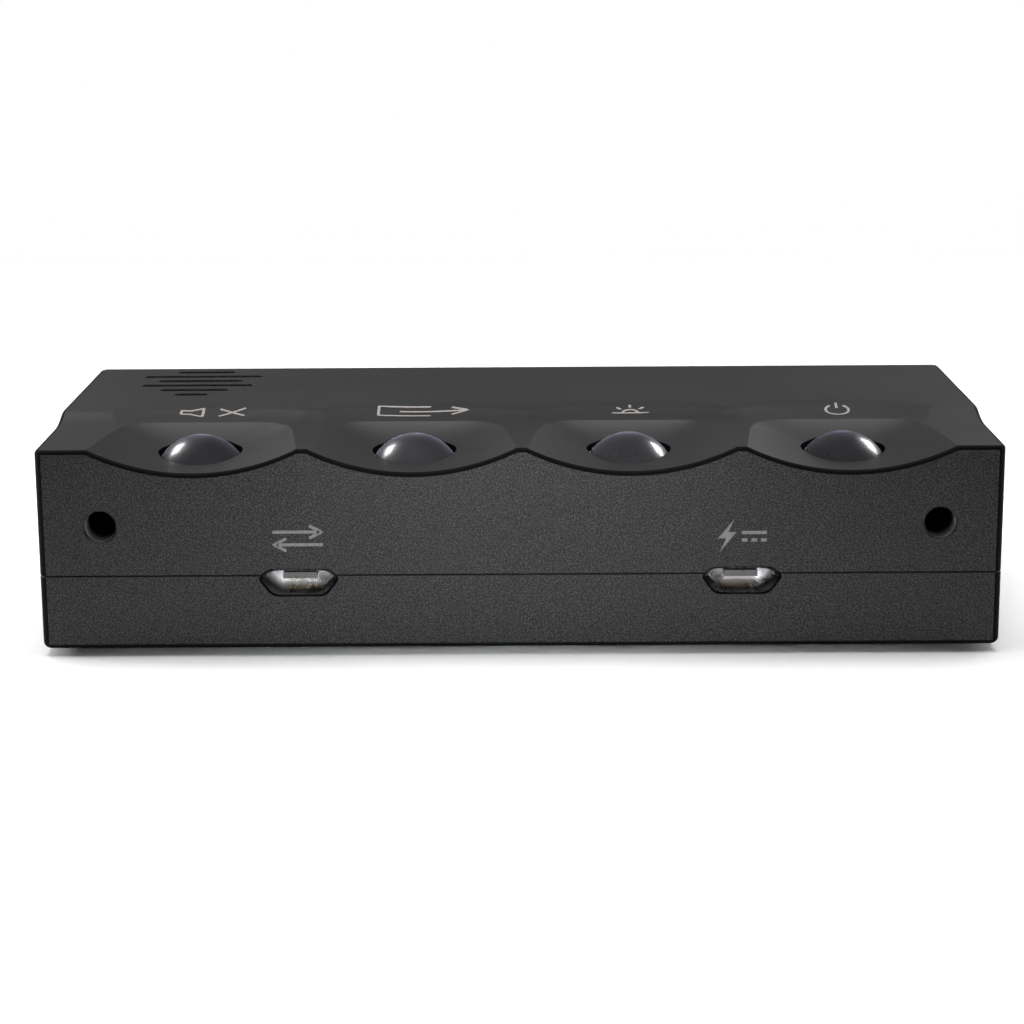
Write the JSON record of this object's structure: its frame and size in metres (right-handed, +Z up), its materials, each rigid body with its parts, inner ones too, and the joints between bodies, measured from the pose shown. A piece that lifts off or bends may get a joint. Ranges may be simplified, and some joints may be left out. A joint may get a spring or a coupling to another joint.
{
  "type": "headphone amplifier",
  "caption": "Compact metal desk headphone amplifier with ball buttons in scooped recesses, micro-USB inputs in the joint line and audio sockets in the rear wall.",
  "frame": {"origin": "centre of the overall footprint, rear sockets included, on the plane under the feet", "axes": "+X to the right seen from the front, -Y out of the front face, +Z up"},
  "size_m": [0.1, 0.052, 0.023],
  "materials": {
    "case": "bead-blasted and anodised black",
    "black_steel": "blackened steel",
    "steel": "bright plated",
    "shell_steel": "bright plated",
    "spring_steel": "spring steel",
    "foot_rubber": "matt",
    "board": "solder mask",
    "black_plastic": "moulded",
    "white_plastic": "moulded",
    "red_plastic": "moulded",
    "shutter_plastic": "moulded",
    "ball": "polished smoky translucent",
    "cradle": "clear moulded",
    "stem": "moulded",
    "led": "clear lens",
    "gold": "gold plated",
    "emitter": "clear red",
    "chip": "moulded epoxy",
    "relay": "moulded",
    "capacitor_sleeve": "sleeved",
    "film_red": "dipped",
    "ferrite": "sintered",
    "passive": "sintered"
  },
  "bodies": {
    "chassis": {"upper_case": "case", "lower_case": "case", "case_screws": "black_steel", "rubber_feet": "foot_rubber", "main_board": "board", "board_screws": "steel", "switch_housings": "black_plastic", "button_leds": "led", "usb_data_shell": "shell_steel", "usb_data_tongue": "black_plastic", "usb_power_shell": "shell_steel", "usb_power_tongue": "black_plastic", "usb_contacts": "gold", "headphone_large_housing": "black_plastic", "headphone_large_bush": "steel", "headphone_large_nut": "black_steel", "headphone_large_contacts": "spring_steel", "headphone_small_housing": "black_plastic", "headphone_small_bush": "steel", "headphone_small_nut": "black_steel", "headphone_small_contacts": "spring_steel", "line_left_sleeve": "gold", "line_left_insulator": "white_plastic", "line_left_contact": "gold", "line_right_sleeve": "gold", "line_right_insulator": "red_plastic", "line_right_contact": "gold", "line_housings": "black_plastic", "optical_housing": "black_plastic", "optical_hinge_pin": "steel", "optical_spring": "spring_steel", "optical_emitter": "emitter", "processor_chip": "chip", "usb_interface_chip": "chip", "converter_chip": "chip", "amplifier_chips": "chip", "output_relays": "relay", "electrolytic_capacitors": "capacitor_sleeve", "film_capacitors": "film_red", "power_inductors": "ferrite", "clock_crystals": "steel", "small_passives": "passive", "mute_dome": "spring_steel", "output_dome": "spring_steel", "dim_dome": "spring_steel", "power_dome": "spring_steel"},
    "mute_button": {"mute_cradle": "cradle", "mute_stem": "stem"},
    "mute_ball": {"mute_ball": "ball"},
    "output_button": {"output_cradle": "cradle", "output_stem": "stem"},
    "output_ball": {"output_ball": "ball"},
    "dim_button": {"dim_cradle": "cradle", "dim_stem": "stem"},
    "dim_ball": {"dim_ball": "ball"},
    "power_button": {"power_cradle": "cradle", "power_stem": "stem"},
    "power_ball": {"power_ball": "ball"},
    "shutter": {"optical_shutter": "shutter_plastic"}
  },
  "joints": [
    {"name": "mute_press", "type": "slide", "parent": "chassis", "child": "mute_button", "axis": [0, 0, -1], "range_m": [0, 0.0003], "stiffness_N_per_m": 1500, "springref_m": -0.0004, "deforming": ["mute_dome"]},
    {"name": "mute_roll", "type": "hinge", "parent": "mute_button", "child": "mute_ball", "pos_m": [-0.03377, -0.0179, 0.017], "axis": [1, 0, 0], "continuous": true},
    {"name": "output_press", "type": "slide", "parent": "chassis", "child": "output_button", "axis": [0, 0, -1], "range_m": [0, 0.0003], "stiffness_N_per_m": 1500, "springref_m": -0.0004, "deforming": ["output_dome"]},
    {"name": "output_roll", "type": "hinge", "parent": "output_button", "child": "output_ball", "pos_m": [-0.01112, -0.0179, 0.017], "axis": [1, 0, 0], "continuous": true},
    {"name": "dim_press", "type": "slide", "parent": "chassis", "child": "dim_button", "axis": [0, 0, -1], "range_m": [0, 0.0003], "stiffness_N_per_m": 1500, "springref_m": -0.0004, "deforming": ["dim_dome"]},
    {"name": "dim_roll", "type": "hinge", "parent": "dim_button", "child": "dim_ball", "pos_m": [0.01153, -0.0179, 0.017], "axis": [1, 0, 0], "continuous": true},
    {"name": "power_press", "type": "slide", "parent": "chassis", "child": "power_button", "axis": [0, 0, -1], "range_m": [0, 0.0003], "stiffness_N_per_m": 1500, "springref_m": -0.0004, "deforming": ["power_dome"]},
    {"name": "power_roll", "type": "hinge", "parent": "power_button", "child": "power_ball", "pos_m": [0.03417, -0.0179, 0.017], "axis": [1, 0, 0], "continuous": true},
    {"name": "shutter_swing", "type": "hinge", "parent": "chassis", "child": "shutter", "pos_m": [0.005, 0.0149, 0.0168], "axis": [-1, 0, 0], "range_deg": [0, 85], "stiffness_Nm_per_rad": 0.0004, "springref_deg": -22.92}
  ]
}
